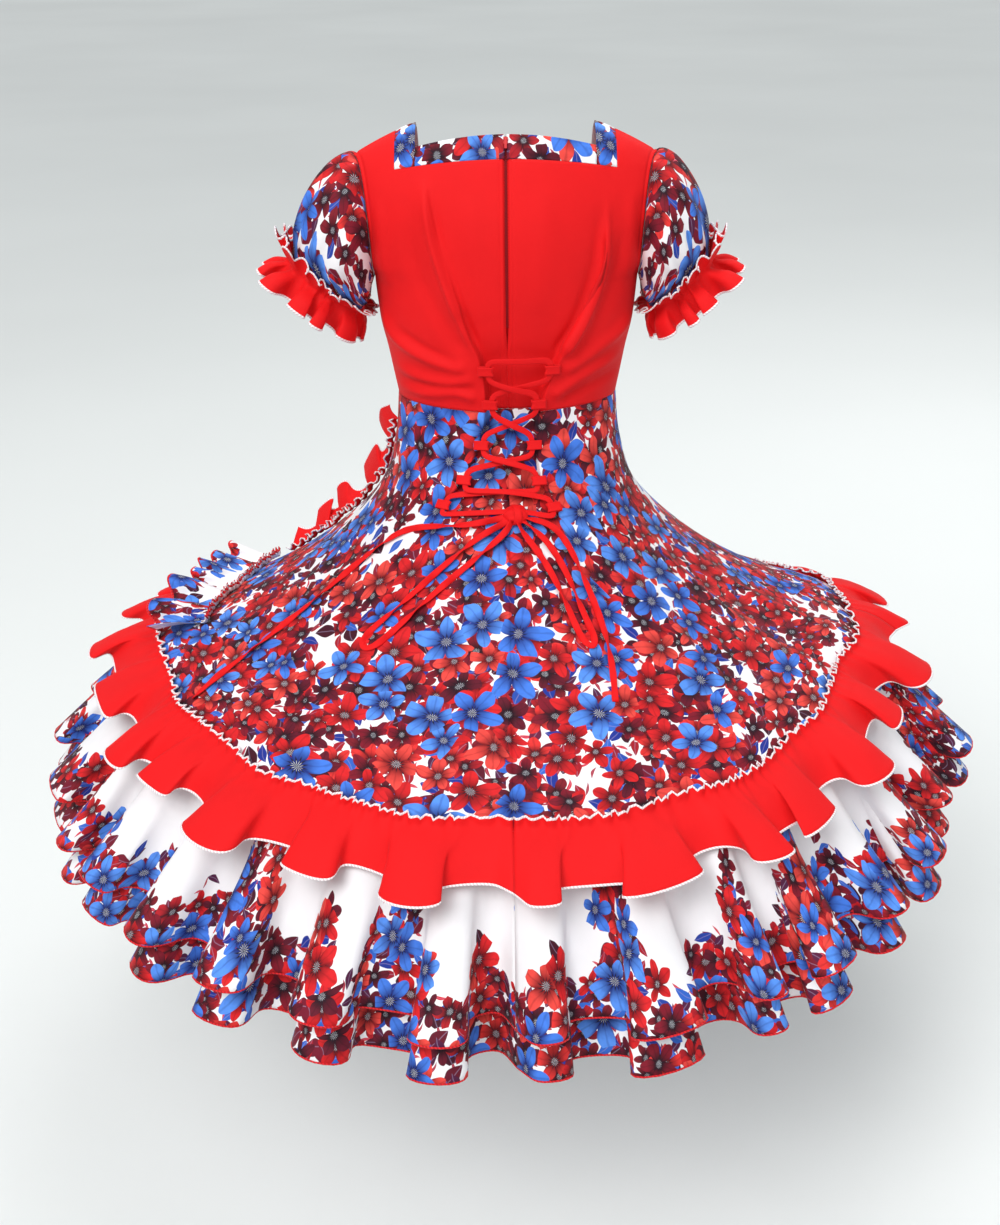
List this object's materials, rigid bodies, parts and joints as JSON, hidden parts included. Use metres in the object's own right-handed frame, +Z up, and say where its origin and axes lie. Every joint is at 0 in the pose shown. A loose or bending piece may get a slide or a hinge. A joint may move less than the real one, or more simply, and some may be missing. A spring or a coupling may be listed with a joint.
{
  "type": "cueca dress",
  "caption": "Folk dance dress filled out as when worn: square printed neck band, puffed short sleeves with ruffles, laced back, flared printed skirt, hem ruffle and gathered flounces.",
  "frame": {"origin": "midway between the inner ends of the two shoulder seams, where a figure's shoulders hold the dress", "axes": "+Z up, -Y the back with the zip and the lacing, +Y the front, -X the wearer's left"},
  "size_m": [1.3319, 1.19, 0.9964],
  "materials": {
    "red_cloth": "matt woven red cloth",
    "print_cloth": "matt white cloth with a dense red, blue and maroon flower print",
    "pale_print_cloth": "matt white cloth with a flower border at the hem",
    "red_cord": "matt red cloth tape",
    "zip_paint": "red enamel"
  },
  "bodies": {
    "dress": {"bodice_back_left": "red_cloth", "bodice_back_right": "red_cloth", "bodice_front": "red_cloth", "neck_band_back_left": "print_cloth", "neck_band_back_right": "print_cloth", "neck_band_front": "print_cloth", "neck_band_left": "print_cloth", "neck_band_right": "print_cloth", "sleeve_left": "print_cloth", "sleeve_right": "print_cloth", "sleeve_ruffle_left": "red_cloth", "sleeve_ruffle_right": "red_cloth", "overskirt_back_left": "print_cloth", "overskirt_back_right": "print_cloth", "overskirt_front": "print_cloth", "hem_ruffle_back_left": "red_cloth", "hem_ruffle_back_right": "red_cloth", "hem_ruffle_front_right": "red_cloth", "hem_ruffle_front_left": "red_cloth", "flounce_upper_back_left": "pale_print_cloth", "flounce_upper_back_right": "pale_print_cloth", "flounce_upper_front_right": "pale_print_cloth", "flounce_upper_front_left": "pale_print_cloth", "flounce_lower_back_left": "pale_print_cloth", "flounce_lower_back_right": "pale_print_cloth", "flounce_lower_front_right": "pale_print_cloth", "flounce_lower_front_left": "pale_print_cloth", "side_ruffle": "red_cloth", "side_flounce": "pale_print_cloth", "lace_loop_left_1": "red_cloth", "lace_loop_left_2": "red_cloth", "lace_loop_left_3": "red_cloth", "lace_loop_left_4": "red_cloth", "lace_loop_left_5": "red_cloth", "lace_loop_right_1": "red_cloth", "lace_loop_right_2": "red_cloth", "lace_loop_right_3": "red_cloth", "lace_loop_right_4": "red_cloth", "lace_loop_right_5": "red_cloth", "lace": "red_cord", "bow_knot": "red_cord", "bow_loop_left": "red_cord", "bow_loop_right": "red_cord", "lace_tail_left": "red_cord", "lace_tail_right": "red_cord", "zip_slider": "zip_paint"},
    "zip_pull": {"zip_pull": "zip_paint"}
  },
  "joints": [
    {"name": "zip_pull_hinge", "type": "hinge", "parent": "dress", "child": "zip_pull", "pos_m": [0, -0.06421, -0.01116], "axis": [-1, 0, 0], "range_deg": [0, 150]}
  ]
}
